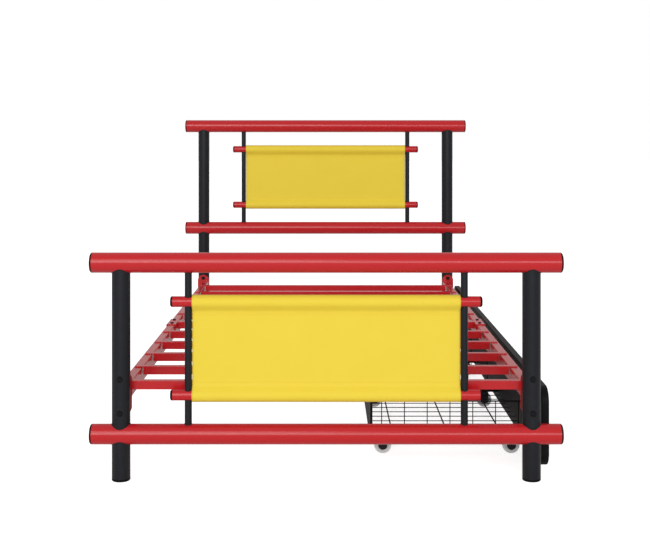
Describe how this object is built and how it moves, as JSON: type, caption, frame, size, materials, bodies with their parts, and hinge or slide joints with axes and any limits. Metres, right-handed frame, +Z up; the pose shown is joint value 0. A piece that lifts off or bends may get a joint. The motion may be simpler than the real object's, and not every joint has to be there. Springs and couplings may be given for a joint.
{
  "type": "kids metal bed with drawers",
  "caption": "Child's single bed with tubular metal end frames, stretched fabric panels, a slatted base and rolling wire-basket drawers with board fronts on one side.",
  "frame": {"origin": "on the floor at the middle of the bed's overall length and width", "axes": "+X to the side that the drawers open to, +Y to the head end, +Z up"},
  "size_m": [1.179, 2.0259, 0.9194],
  "materials": {
    "red_metal": "glossy powder coat",
    "black_metal": "satin powder coat",
    "black_plastic": "moulded, matte",
    "black_board": "painted board, satin",
    "yellow_fabric": "coated weave, stitched pockets",
    "wheel_plastic": "moulded, light grey"
  },
  "bodies": {
    "bed_frame": {"foot_top_rail": "red_metal", "foot_lower_rail": "red_metal", "head_top_rail": "red_metal", "head_middle_rail": "red_metal", "foot_lower_rod": "red_metal", "foot_upper_rod": "red_metal", "head_lower_rod": "red_metal", "head_upper_rod": "red_metal", "side_rail_left_foot": "red_metal", "side_rail_left_head": "red_metal", "side_rail_right_foot": "red_metal", "side_rail_right_head": "red_metal", "splice_sleeves": "red_metal", "corner_brackets": "red_metal", "slat_01": "red_metal", "slat_02": "red_metal", "slat_03": "red_metal", "slat_04": "red_metal", "slat_05": "red_metal", "slat_06": "red_metal", "slat_07": "red_metal", "slat_08": "red_metal", "slat_09": "red_metal", "slat_10": "red_metal", "slat_11": "red_metal", "foot_post_left": "black_metal", "foot_post_right": "black_metal", "head_post_left": "black_metal", "head_post_right": "black_metal", "foot_legs": "black_metal", "head_legs": "black_metal", "foot_spindles": "black_metal", "head_spindles": "black_metal", "post_bolts": "black_metal", "splice_bolts": "black_metal", "centre_leg": "black_metal", "rail_end_caps": "black_plastic", "rod_end_caps": "black_plastic", "floor_glides": "black_plastic", "foot_fabric_panel": "yellow_fabric", "head_fabric_panel": "yellow_fabric"},
    "drawer_1": {"drawer_1_front_board": "black_board", "drawer_1_back_board": "black_board", "drawer_1_cross_bars": "black_board", "drawer_1_wire_basket": "black_metal", "drawer_1_caster_forks": "black_metal"},
    "drawer_1_wheel_1": {"drawer_1_wheel_1": "wheel_plastic"},
    "drawer_1_wheel_2": {"drawer_1_wheel_2": "wheel_plastic"},
    "drawer_1_wheel_3": {"drawer_1_wheel_3": "wheel_plastic"},
    "drawer_1_wheel_4": {"drawer_1_wheel_4": "wheel_plastic"},
    "drawer_2": {"drawer_2_front_board": "black_board", "drawer_2_back_board": "black_board", "drawer_2_cross_bars": "black_board", "drawer_2_wire_basket": "black_metal", "drawer_2_caster_forks": "black_metal"},
    "drawer_2_wheel_1": {"drawer_2_wheel_1": "wheel_plastic"},
    "drawer_2_wheel_2": {"drawer_2_wheel_2": "wheel_plastic"},
    "drawer_2_wheel_3": {"drawer_2_wheel_3": "wheel_plastic"},
    "drawer_2_wheel_4": {"drawer_2_wheel_4": "wheel_plastic"}
  },
  "joints": [
    {"name": "drawer_1_slide", "type": "slide", "parent": "bed_frame", "child": "drawer_1", "axis": [1, 0, 0], "range_m": [0, 0.42]},
    {"name": "drawer_1_wheel_1_spin", "type": "hinge", "parent": "drawer_1", "child": "drawer_1_wheel_1", "pos_m": [0.5012, -0.74235, 0.023], "axis": [0, 1, 0], "range_deg": [-12, 1060]},
    {"name": "drawer_1_wheel_2_spin", "type": "hinge", "parent": "drawer_1", "child": "drawer_1_wheel_2", "pos_m": [0.5012, -0.21935, 0.023], "axis": [0, 1, 0], "range_deg": [-12, 1060]},
    {"name": "drawer_1_wheel_3_spin", "type": "hinge", "parent": "drawer_1", "child": "drawer_1_wheel_3", "pos_m": [0.1532, -0.74235, 0.023], "axis": [0, 1, 0], "range_deg": [-12, 1060]},
    {"name": "drawer_1_wheel_4_spin", "type": "hinge", "parent": "drawer_1", "child": "drawer_1_wheel_4", "pos_m": [0.1532, -0.21935, 0.023], "axis": [0, 1, 0], "range_deg": [-12, 1060]},
    {"name": "drawer_2_slide", "type": "slide", "parent": "bed_frame", "child": "drawer_2", "axis": [1, 0, 0], "range_m": [0, 0.42]},
    {"name": "drawer_2_wheel_1_spin", "type": "hinge", "parent": "drawer_2", "child": "drawer_2_wheel_1", "pos_m": [0.5012, 0.24115, 0.023], "axis": [0, 1, 0], "range_deg": [-12, 1060]},
    {"name": "drawer_2_wheel_2_spin", "type": "hinge", "parent": "drawer_2", "child": "drawer_2_wheel_2", "pos_m": [0.5012, 0.76415, 0.023], "axis": [0, 1, 0], "range_deg": [-12, 1060]},
    {"name": "drawer_2_wheel_3_spin", "type": "hinge", "parent": "drawer_2", "child": "drawer_2_wheel_3", "pos_m": [0.1532, 0.24115, 0.023], "axis": [0, 1, 0], "range_deg": [-12, 1060]},
    {"name": "drawer_2_wheel_4_spin", "type": "hinge", "parent": "drawer_2", "child": "drawer_2_wheel_4", "pos_m": [0.1532, 0.76415, 0.023], "axis": [0, 1, 0], "range_deg": [-12, 1060]}
  ],
  "couplings": [
    {"joint": "drawer_1_wheel_1_spin", "follows": "drawer_1_slide", "rad_per_m": 43.478},
    {"joint": "drawer_1_wheel_2_spin", "follows": "drawer_1_slide", "rad_per_m": 43.478},
    {"joint": "drawer_1_wheel_3_spin", "follows": "drawer_1_slide", "rad_per_m": 43.478},
    {"joint": "drawer_1_wheel_4_spin", "follows": "drawer_1_slide", "rad_per_m": 43.478},
    {"joint": "drawer_2_wheel_1_spin", "follows": "drawer_2_slide", "rad_per_m": 43.478},
    {"joint": "drawer_2_wheel_2_spin", "follows": "drawer_2_slide", "rad_per_m": 43.478},
    {"joint": "drawer_2_wheel_3_spin", "follows": "drawer_2_slide", "rad_per_m": 43.478},
    {"joint": "drawer_2_wheel_4_spin", "follows": "drawer_2_slide", "rad_per_m": 43.478}
  ]
}
